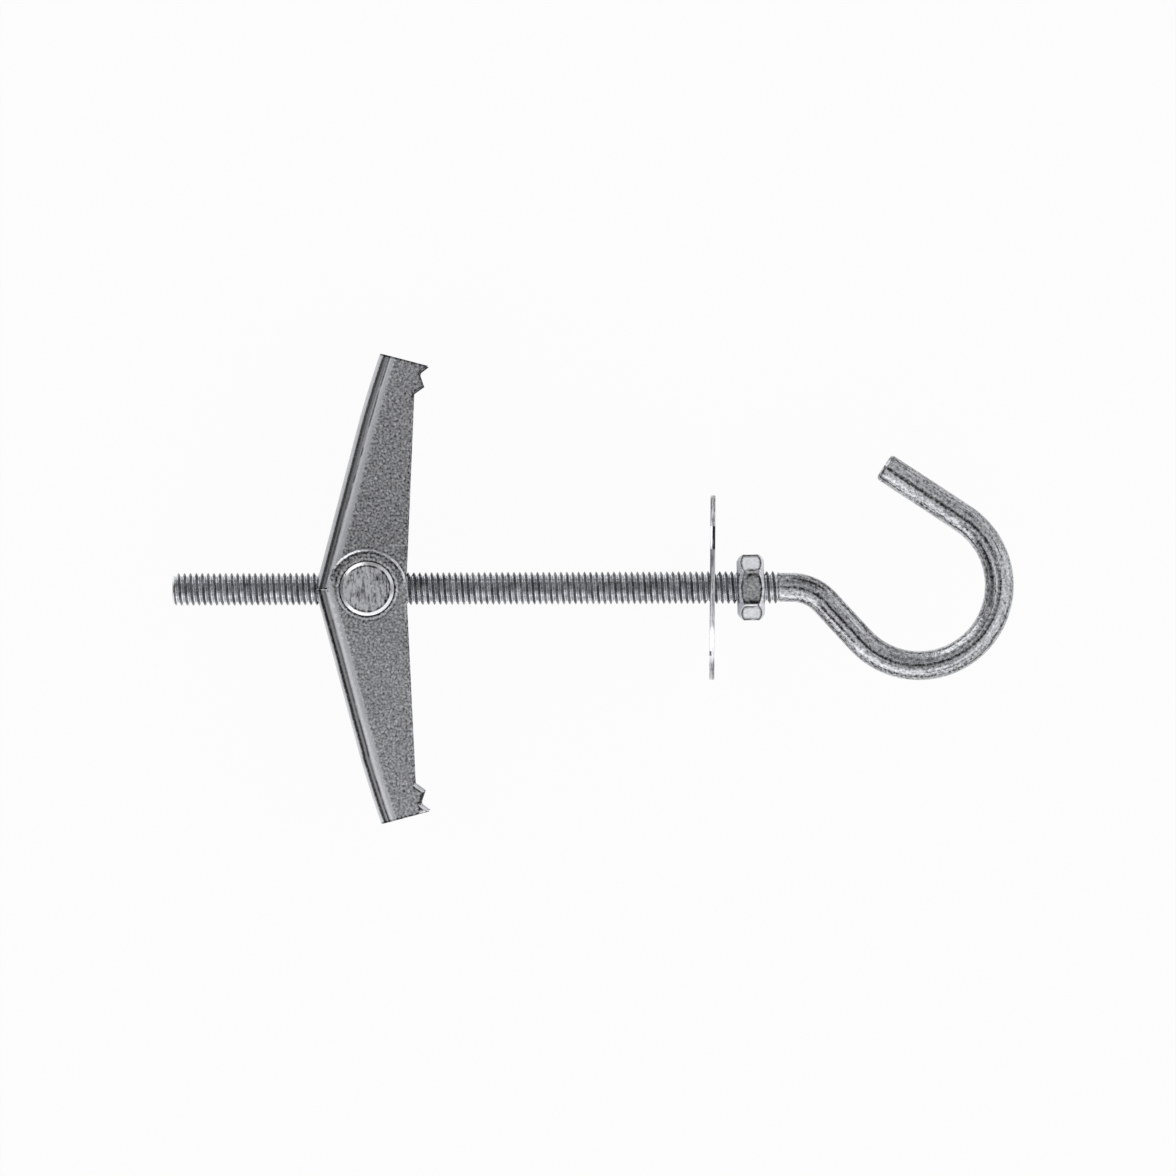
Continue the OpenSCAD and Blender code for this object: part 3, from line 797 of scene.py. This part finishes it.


# In the finishes below, a level is how light the metal is, from 0 to 1. Places and half widths
# are in millimetres: u and n on a wing, along and reach on what is round.

# Rings painted on the outer wing's ear: radius, half width, and how much lighter or darker they are.
# The first is a painted highlight on the rounded edge, the second a painted dark reflection inside
# it, and the third a faint darker ring at the land.
EAR_PAINTED_RINGS = [(OUTER_EAR_R - 0.11, 0.2, 0.34), (OUTER_EAR_R - 0.42, 0.2, -0.32),
             (OUTER_LAND_R, 0.3, -0.08)]


def outer_marks(f, level, u, n, reach, brink, fine):
    """What only the outer wing shows: a painted highlight on the tooth flanks where the punch has
    struck, with a painted shade line at their inner border, painted shade on the flank between
    them, a row of bright dots along the bend, a smudge beside the pin hole, and the painted
    highlight and dark reflection rings on the ear's free side."""
    teeth = n.step(0.95, 0.75)
    struck = (u.near(24.45, 0.58, 0.1) + u.near(26.88, 0.48, 0.1)) * teeth
    # Painted shade on the tooth flank between the struck ones.
    level = level - brink.step(0.50, 0.36) * u.near(25.62, 0.62, 0.1) * teeth * 0.3
    # On the struck flanks: a painted highlight along the edge, and a painted shade line at the
    # slope's inner border.
    level = level + struck * (brink.step(0.34, 0.26) * 0.72 - brink.near(0.47, 0.14, 0.4) * 0.45)
    dots = f.noise(f.vector(u * 1.7, 0.0, 0.0), 1.0, 0.0).step(0.50, 0.58)
    level = level + n.near(4.33, 0.16, 0.6) * u.near(2.7, 2.7, 0.3) * dots * 0.4
    blot = ((u + 2.5) * (u + 2.5) + (n - 3.26) * (n - 3.26)).step(0.7, 0.05)
    level = level - blot * fine.step(0.44, 0.54) * 0.28
    free = u.step(0.8, -0.4) * n.step(3.8, 2.4)
    # The ear's rings: a painted highlight and a painted dark reflection.
    for ring_r, width, lift in EAR_PAINTED_RINGS:
        level = level + reach.near(ring_r, width, 0.7) * free * lift
    return level


def pressed_sheet(name, tone, contrast, bend_dark_reflection, thin_dark_reflection, outer=False):
    """Zinc on pressed sheet: a pitted grain on the flats, two painted dark reflections along each
    bend, painted shade along the sheared edges, and a painted highlight ring and a painted dark
    reflection ring round the pin hole, with painted shade on the roll into it. The outer wing also
    has its own marks. bend_dark_reflection is a height, a half width and a depth, and
    thin_dark_reflection is a depth and how far the line sinks along the wing."""
    f = Finish(name)
    where = f.place()
    grain = f.noise(where, 3.4, 0.3)
    fine = f.noise(where, 6.5, 1.0)
    patch = f.noise(where, 0.3)
    pits = f.cells(where, 1.25).step(0.26, 0.12) * f.noise(where, 0.9, 1.0).step(0.46, 0.56)
    u, n = f.attribute("wing_u"), f.attribute("wing_n")
    wavy = n + (patch - 0.5) * 0.2 + (fine - 0.5) * 0.06
    sheet = wavy.step(BEND_N - 0.2, BEND_N - 0.55)
    # A painted highlight where each bend starts from the flange; the band is also rougher.
    bend_start_highlight = wavy.step(BEND_N - 0.55, BEND_N - 0.1) * wavy.step(BEND_N + 0.5, BEND_N + 0.25)
    bend = 1.0 - sheet
    spread = (sheet * 0.85 + 0.15) * contrast
    level = tone + u * 0.003 + ((grain - 0.5) * 2.1 + (fine - 0.5) * 1.2) * spread
    level = level + (patch - 0.5) * 0.12 - pits * sheet * 0.16 + bend * 0.08 + bend_start_highlight * 0.2
    # Two painted dark reflections along each bend: a wide line near the web, and a thin one lower on
    # the bend that sinks along the wing.
    height, width, depth = bend_dark_reflection
    level = level - wavy.near(height, width, 0.7) * depth * grain.step(0.3, 0.5, 0.5, 1.0)
    depth, sink = thin_dark_reflection
    thin = (wavy + u.step(5.0, 19.0, 0.0, sink)).near(4.90, 0.16, 0.7) * u.step(9.0, 19.0, 0.8, 1.3)
    level = level - thin * depth * patch.step(0.4, 0.5, 0.4, 1.0)
    # Painted shade along the sheared edges: darkest at the teeth and the end.
    brink = f.attribute("brink") + (fine - 0.5) * 0.08
    sheared_edge_shade = brink.step(0.30, 0.16) * u.step(EDGE_END - 1.0, EDGE_END, 0.1, 0.34)
    level = level - sheared_edge_shade - brink.step(0.15, 0.08) * 0.12
    # The pin hole: a painted highlight ring on its roll, a painted dark reflection ring round it,
    # and painted shade on the roll into the hole.
    reach = (u * u + n * n).maths("SQRT") + (patch - 0.5) * 0.1
    hole_rim_highlight = reach.near(3.57, 0.14, 0.8) * u.step(-1.0, 1.5, 0.04, 0.26)
    level = level + hole_rim_highlight - reach.near(3.80, 0.16, 0.8) * 0.16
    level = level - reach.step(3.48, 3.28) * 0.4
    if outer:
        level = outer_marks(f, level, u, n, reach, brink, fine)
    rough = (0.33 + (fine - 0.5) * 0.2 - bend * 0.12 + bend_start_highlight * 0.16).limit(0.12, 0.6)
    relief = (grain * 0.85 + fine * 0.15 - pits * 0.6) * (sheet * 0.85 + 0.15)
    return f.zinc(level, rough, relief, 0.045, 0.9)


# Lines along the plain wire: place round it (from -1 to 1), half width and depth.
DIE_LINES = [(0.0, 0.035, 0.34), (-0.30, 0.025, 0.25), (0.24, 0.02, 0.25)]
# Scores that the bending rolls left: the same, with the middle and half length along the wire.
SCORES = [(0.138, 0.05, 0.36, 81.0, 3.6), (-0.205, 0.05, 0.42, 75.4, 2.2),
          (-0.115, 0.04, 0.26, 102.0, 3.4), (-0.18, 0.07, 0.26, 109.5, 5.6)]


def drawn_wire(name):
    """Zinc on drawn wire with a rolled thread: streaks, die lines and scores along the wire,
    mottled plating between them, and a thread with dull crests, with painted shade on its crests
    and in its roots."""
    f = Finish(name)
    along, crest, threaded = f.attribute("along"), f.attribute("crest"), f.attribute("threaded")
    c, s, turn = f.attribute("round_cos"), f.attribute("round_sin"), f.attribute("round_turn")
    cut = f.attribute("cut")
    plain = 1.0 - threaded
    scored = plain * (1.0 - cut)
    streak = f.noise(f.vector(along * 0.11, c * 3.4, s * 3.4), 1.0, 3.0, 0.6)
    lines = f.noise(f.vector(along * 0.045, c * 7.5, s * 7.5), 1.0, 1.5)
    speck = f.noise(f.place(), 2.9, 1.5, 0.55)
    fine = f.noise(f.place(), 6.5, 1.0)
    patch = f.noise(f.place(), 0.5)
    wander = (f.noise(f.vector(along * 0.06, 0.0, 0.0), 1.0) - 0.5) * 0.16
    broken = f.noise(f.vector(along * 0.35, turn * 6.0, 3.0), 1.0, 2.0, 0.6)
    broken = broken.step(0.36, 0.5, 0.25, 1.0)
    worn = f.noise(f.vector(along * 0.3, c * 2.0, s * 2.0), 1.0, 1.0).step(0.4, 0.6)
    mottle = (streak - 0.5) * 0.7 + (speck - 0.5) * 1.2 + (fine - 0.5) * 0.5
    level = 0.49 + mottle * plain + (patch - 0.5) * 0.25
    drawn = lines.step(0.42, 0.34) * 0.2 - lines.step(0.58, 0.66) * 0.28
    level = level + drawn * worn * scored
    for place, width, depth in DIE_LINES:
        level = level - (turn + wander).near(place, width, 0.7) * scored * broken * depth
    for place, width, depth, middle, half_len in SCORES:
        score = (turn + wander * 0.3).near(place, width, 0.8) * along.near(middle, half_len, 0.3)
        level = level - score * depth
    side = (s.maths("ABSOLUTE") + (streak - 0.5) * 0.3).near(0.5, 0.28, 0.8)
    level = level - side * scored * 0.18
    uneven = f.noise(f.vector(along * 1.43, c * 1.3, s * 1.3), 1.0, 2.0, 0.6)
    turned = 0.42 + (uneven - 0.5) * 0.7 + (fine - 0.5) * 0.4
    # Painted shade on the thread's crests and in its roots.
    crest_and_root_shade = crest.step(0.30, 0.62) * 0.80 + crest.step(0.16, 0.02) * 0.6
    level = level + threaded * (turned - crest_and_root_shade)
    rough = (0.22 + (speck - 0.5) * 0.3 * plain).limit(0.12, 0.5)
    relief = (streak * 0.35 + speck * 0.65) * plain + uneven * threaded * 0.6
    dull = crest.step(0.55, 0.85) * threaded * 0.7
    return f.zinc(level, rough, relief, 0.09, 0.85, top=0.97, metallic=1.0 - dull)


def spring_steel(name):
    """The spring wire's finish: dark steel with a faint mottle."""
    f = Finish(name)
    mottle = f.noise(f.place(), 2.2, 3.0, 0.6)
    fine = f.noise(f.place(), 6.0)
    level = 0.42 + (mottle - 0.5) * 0.2 + (fine - 0.5) * 0.14
    rough = (0.3 + (mottle - 0.5) * 0.2).limit(0.12, 0.6)
    return f.zinc(level, rough, mottle * 0.6 + fine * 0.4, 0.012, 0.6)


def nut_zinc(name):
    """The nut's finish: a mottled plating, and a line of painted shade just inside each facet's
    border.
    """
    f = Finish(name)
    mottle = f.noise(f.place(), 2.6, 1.5, 0.55)
    broken = f.noise(f.place(), 1.2, 1.0).step(0.30, 0.46, 0.35, 1.0)
    border_shade = f.attribute("border_shade")
    # The mottle is strongest on the upper and lower facets.
    facing = f.split(f.place())[2].maths("ABSOLUTE").step(2.7, 3.3, 0.4, 1.0)
    # Painted shade along the creases where the facets meet.
    level = 0.68 + (mottle - 0.5) * facing * 1.2 - border_shade * broken * 0.6
    rough = (0.26 + (mottle - 0.5) * 0.2).limit(0.1, 0.5)
    return f.zinc(level, rough, mottle, 0.025, 0.8)


def washer_zinc(name):
    """The washer's finish: faintly rolled faces, and a rim whose punched edge is smooth over one
    half of its width and torn and dark over the other."""
    f = Finish(name)
    along, reach = f.attribute("along"), f.attribute("reach")
    _, y, z = f.split(f.place())
    mottle = f.noise(f.place(), 1.6, 2.0, 0.6)
    rolled = f.noise(f.place((1.0, 0.15, 1.0)), 2.2, 2.0, 0.55)
    round_rim = f.noise(f.vector(along * 6.0, y * 0.5, z * 0.5), 1.0, 2.0, 0.6)
    rim = reach.step(WASHER_R - 0.26, WASHER_R - 0.18)
    torn = along.step(0.30, 0.40) * rim
    level = 0.62 + (mottle - 0.5) * 0.35 + (rolled - 0.5) * 0.3 + (round_rim - 0.5) * rim * 1.2
    # The torn half is darker; painted shade also darkens the rim where it faces straight along y.
    level = level - torn * 0.14 - y.maths("ABSOLUTE").step(8.6, 9.2) * rim * 0.2
    # Along the upper rim: a stretch half bright and half dark, a painted highlight, a small painted
    # dark reflection, and painted shade.
    split = y.near(5.9, 1.45, 0.15) * along.step(0.24, 0.30, 0.8, -0.6)
    rim_highlight = y.near(-6.6, 2.3, 0.4) * 0.4
    rim_dark_reflection = y.near(-7.8, 0.4) * along.near(0.1, 0.2) * 0.7
    shade = along.step(0.24, 0.14) * y.step(-1.0, 1.0) * 0.25
    level = level + (split + rim_highlight - rim_dark_reflection - shade) * z.step(2.0, 3.0) * rim
    rough = (0.22 + torn * 0.12 + (mottle - 0.5) * 0.2).limit(0.12, 0.6)
    return f.zinc(level, rough, mottle * 0.3 + round_rim * rim * 0.7, 0.05, 0.8)


def bar_zinc(name):
    """The cross nut's finish: sawn ends with fine marks one way, pits, and a painted dark
    reflection line just inside the chamfer."""
    f = Finish(name)
    x, y, z = f.split(f.place())
    across = x - PIVOT_X
    reach = (across * across + y * y).maths("SQRT")
    on_end = z.maths("ABSOLUTE").step(OUTER_HALF_W + 0.3, OUTER_HALF_W + 0.4)
    marks = f.noise(f.place((1.0, 0.28, 1.0)), 3.2, 2.0, 0.6)
    mottle = f.noise(f.place(), 2.8, 2.0, 0.6)
    pits = f.cells(f.place((1.0, 0.8, 1.0)), 1.3).step(0.30, 0.16)
    pits = pits * f.noise(f.place(), 1.1, 1.0).step(0.46, 0.54)
    # A painted dark reflection: a dark line just inside the chamfer.
    burr = reach.near(2.70, 0.15, 0.7) * across.step(-2.4, -1.2)
    burr = burr * f.noise(f.place(), 0.8, 1.0).step(0.3, 0.5, 0.35, 1.0)
    sawn = (marks - 0.5) * 2.8 - across * 0.02 - burr * 0.55 - pits * 0.5
    level = 0.77 + sawn * on_end + (mottle - 0.5) * 0.9 + reach.step(2.78, 2.84) * 0.3
    rough = (0.30 + (mottle - 0.5) * 0.2).limit(0.15, 0.6)
    return f.zinc(level, rough, marks * 0.5 + mottle * 0.4 - pits * 0.4, 0.04, 0.9, top=0.97)


def floor_paper():
    """White paper that stays white to the camera and in reflections, and keeps a soft shadow."""
    f = Finish("floor_paper", Roughness=0.9, Base_Color=(0.9, 0.9, 0.9, 1))
    seen, glossy, through = (f.node("ShaderNodeLightPath", output="Is %s Ray" % kind)
                             for kind in ("Camera", "Glossy", "Transmission"))
    mask = seen.maths("MAXIMUM", glossy).maths("MAXIMUM", through) * PAPER_GLOW
    glow = f.node("ShaderNodeEmission", None, {"Color": (1, 1, 1, 1)})
    shaded = Value(f, f.shader.outputs[0])
    mixed = f.node("ShaderNodeMixShader", None, {0: mask, 1: shaded, 2: glow})
    out = next(n for n in f.tree.nodes if n.type == "OUTPUT_MATERIAL")
    f.fill(out.inputs["Surface"], mixed)
    return f.material


def give(piece, material):
    """Puts one material on a piece."""
    piece.data.materials.clear()
    piece.data.materials.append(material)


# ================================================================ the pieces and their finishes

give(make_hook_bolt(), drawn_wire("zinc_drawn_wire"))
upper_wing = make_wing("upper_wing_sheet", "upper_wing", "upper_wing", INNER_HALF_W, INNER_EAR_R,
                       INNER_EAR_SIDE, INNER_LAND_R, inner_edges, False)
give(upper_wing, pressed_sheet("zinc_sheet_inner", 0.37, 0.47, (5.32, 0.20, 0.34), (0.34, 0.26)))
lower_wing = make_wing("lower_wing_sheet", "lower_wing", "lower_wing", OUTER_HALF_W, OUTER_EAR_R,
                       OUTER_EAR_SIDE, OUTER_LAND_R, outer_edges, True)
give(lower_wing, pressed_sheet("zinc_sheet_outer", 0.45, 0.48, (5.48, 0.30, 0.50), (0.34, -0.03),
                               outer=True))
give(merged_copy("cross_nut_bar", "toggle", "cross_nut"), bar_zinc("zinc_bar"))
give(make_washer(), washer_zinc("zinc_washer"))
give(make_nut(), nut_zinc("zinc_nut"))
give(make_spring(), spring_steel("spring_wire"))

# ================================================================ floor, light and camera

VIEW_X = 49.4                    # the middle of the view, along the rod
PAPER_HALF, PAPER_GAP = 115.0, 0.1   # half the paper's width, and how far it is under the object
PAPER_GLOW = 0.94                # how much of the paper's white hides its shading
# The room's light by height, from straight down (-1) to straight up (1), on its four sides.
ROOM = {
    "left": [(-1, 0.3), (-0.3, 0.08), (0.05, 0.05), (0.20, 0.18), (0.36, 0.24), (0.52, 0.15),
             (0.68, 0.18), (0.80, 0.48), (0.90, 0.70), (0.955, 0.62), (0.982, 0.20), (1.0, 0.12)],
    "right": [(-1, 0.4), (-0.25, 0.35), (0.0, 0.55), (0.28, 0.66), (0.5, 0.62), (0.82, 0.56),
              (0.92, 0.50), (0.96, 0.44), (0.982, 0.18), (1.0, 0.12)],
    "near": [(-1, 0.5), (-0.2, 0.5), (0.0, 0.75), (0.28, 1.0), (0.5, 0.90), (0.68, 0.64),
             (0.82, 0.54), (0.92, 0.44), (0.96, 0.40), (0.982, 0.18), (1.0, 0.12)],
    "far": [(-1, 0.3), (-0.25, 0.10), (0.05, 0.14), (0.28, 0.45), (0.50, 0.36), (0.68, 0.17),
            (0.82, 0.28), (0.92, 0.36), (0.96, 0.36), (0.982, 0.18), (1.0, 0.12)],
}
ROOM_STRENGTH = 1.45
LAMP_AIMS = ((-0.53, 0.84, 0.12), (-0.50, -0.80, 0.33))


def make_floor():
    """A flat sheet of paper just under the object."""
    low = cad_box[0][2] / MM - PAPER_GAP
    corners = np.array([[VIEW_X + i * PAPER_HALF, j * PAPER_HALF, low]
                        for i, j in ((-1, -1), (1, -1), (1, 1), (-1, 1))])
    mesh = bpy.data.meshes.new("floor")
    mesh.from_pydata((corners * MM).tolist(), [], [(0, 1, 2, 3)])
    floor = bpy.data.objects.new("floor", mesh)
    bpy.context.scene.collection.objects.link(floor)
    give(floor, floor_paper())


def soft_room():
    """A soft studio room: dim straight above, a bright ring of ceiling round that, walls that are
    light on the near side and the right and darker on the far side and the left, and two low
    soft lamps on the left."""
    world = bpy.data.worlds.new("soft_room")
    bpy.context.scene.world = world
    world.use_nodes = True
    world.node_tree.nodes.clear()
    room = Nodes(world.node_tree)
    x, y, height = room.split(room.node("ShaderNodeTexCoord", output="Generated"))
    level = height * 0.5 + 0.5
    sides = {name: room.ramp(level, [((z + 1) / 2, grey) for z, grey in stops])
             for name, stops in ROOM.items()}
    across = x.maths("SIGN") * 0.5 + 0.5
    depth = y.maths("SIGN") * 0.5 + 0.5
    sideways = room.blend(sides["left"], sides["right"], across)
    lengthways = room.blend(sides["near"], sides["far"], depth)
    share = (y * y).maths("DIVIDE", x * x + y * y + 0.0001)
    light = room.blend(sideways, lengthways, share)
    for aim in LAMP_AIMS:
        lamp = (x * aim[0] + y * aim[1] + height * aim[2]).step(0.87, 0.965)
        light = room.blend(light, (1, 1, 1, 1), lamp)
    seen = room.node("ShaderNodeLightPath", output="Is Camera Ray")
    white = 1 / ROOM_STRENGTH
    light = room.blend(light, (white, white, white, 1), seen)
    back = room.node("ShaderNodeBackground", None, {0: light, 1: ROOM_STRENGTH})
    room.node("ShaderNodeOutputWorld", None, {0: back})


def make_camera():
    """A long lens straight above the object, turned a little, as the bolt lies."""
    sensor, away, frame_width, turn = 36, 1200.0, 140.0, math.radians(-0.2)
    lens = bpy.data.cameras.new("camera")
    lens.sensor_width = sensor
    lens.lens = sensor * away / frame_width
    lens.clip_start, lens.clip_end = 0.05, 20
    camera = bpy.data.objects.new("camera", lens)
    camera.location = (VIEW_X * MM, 0, away * MM)
    camera.rotation_euler = (0, 0, turn)
    bpy.context.scene.collection.objects.link(camera)
    bpy.context.scene.camera = camera


make_floor()
soft_room()
make_camera()
bpy.context.scene.view_settings.view_transform = "Standard"
